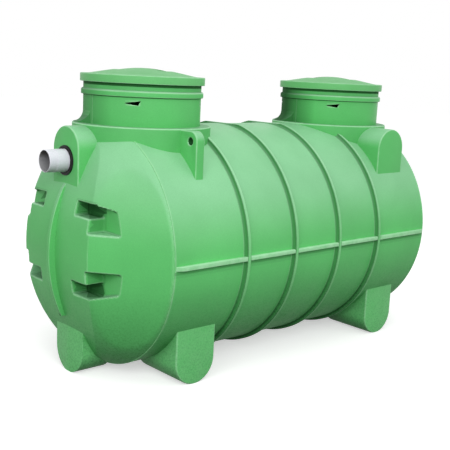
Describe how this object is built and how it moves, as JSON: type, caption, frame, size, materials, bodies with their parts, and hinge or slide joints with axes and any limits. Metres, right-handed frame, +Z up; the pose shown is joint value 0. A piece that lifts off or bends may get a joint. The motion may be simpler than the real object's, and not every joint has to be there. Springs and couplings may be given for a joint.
{
  "type": "underground septic tank",
  "caption": "Horizontal ribbed plastic septic tank with dished ends, round manholes under screwed lids, pipe stubs, lifting lugs and moulded feet.",
  "frame": {"origin": "on the floor under the middle of the tank", "axes": "+X along the barrel from the inlet end to the outlet end, +Y towards the rear side, +Z up"},
  "size_m": [2.612, 1.28, 1.553],
  "materials": {
    "tank_shell": "satin",
    "lid_shell": "satin",
    "grey_pipe": "satin",
    "black_seal": "matte"
  },
  "bodies": {
    "root": {"barrel_top": "tank_shell", "barrel_bottom": "tank_shell", "inlet_end_top": "tank_shell", "inlet_end_bottom": "tank_shell", "outlet_end_top": "tank_shell", "outlet_end_bottom": "tank_shell", "inlet_collar": "tank_shell", "outlet_collar": "tank_shell", "inlet_neck": "tank_shell", "outlet_neck": "tank_shell", "inlet_lid": "lid_shell", "outlet_lid": "lid_shell", "rib_1": "tank_shell", "rib_2": "tank_shell", "rib_3": "tank_shell", "rib_4": "tank_shell", "front_flange": "tank_shell", "rear_flange": "tank_shell", "inlet_fin": "tank_shell", "outlet_fin": "tank_shell", "inlet_block": "tank_shell", "outlet_block": "tank_shell", "front_side_block": "tank_shell", "rear_side_block": "tank_shell", "front_lifting_lug": "tank_shell", "rear_lifting_lug": "tank_shell", "front_inlet_foot": "tank_shell", "front_outlet_foot": "tank_shell", "rear_inlet_foot": "tank_shell", "rear_outlet_foot": "tank_shell", "inlet_end_foot": "tank_shell", "outlet_end_foot": "tank_shell", "inlet_seal": "black_seal", "outlet_seal": "black_seal", "inlet_pipe": "grey_pipe", "outlet_pipe": "grey_pipe"}
  },
  "joints": []
}
